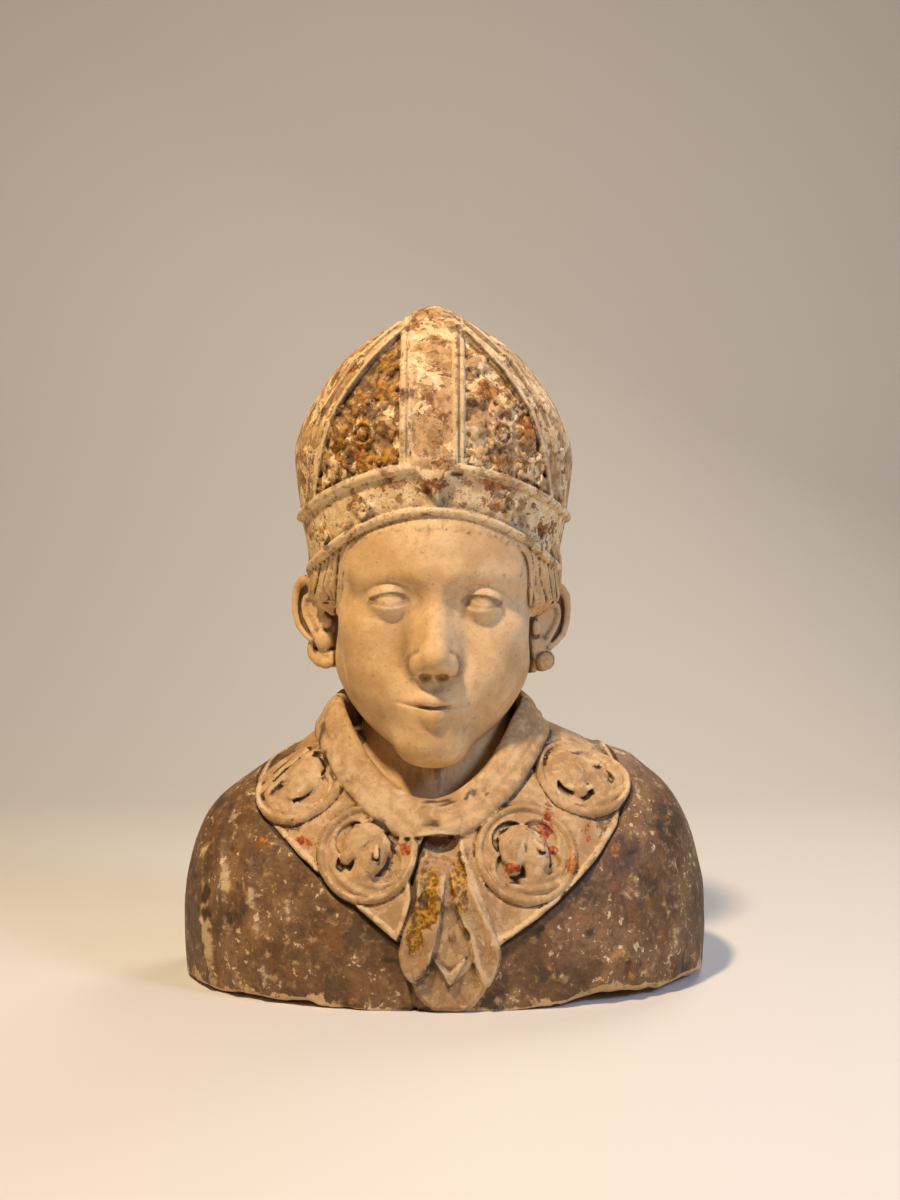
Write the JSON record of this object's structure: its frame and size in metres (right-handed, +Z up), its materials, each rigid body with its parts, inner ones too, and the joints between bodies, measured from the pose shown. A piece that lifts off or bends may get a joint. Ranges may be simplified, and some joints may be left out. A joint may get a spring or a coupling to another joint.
{
  "type": "stone saint bust",
  "caption": "Stone bust of a bishop saint in a mitre and a cope with four carved roundels, cut flat below.",
  "frame": {"origin": "middle of the bounding box on the flat underside that the bust stands on", "axes": "+Z up, the face looks along -Y, +X is the bust's left hand side, on the right as seen from the front"},
  "size_m": [0.39, 0.252, 0.488],
  "materials": {
    "limestone": "carved limestone, matt, with worn traces of brown, red and gold paint"
  },
  "bodies": {
    "root": {"bust": "limestone"}
  },
  "joints": []
}
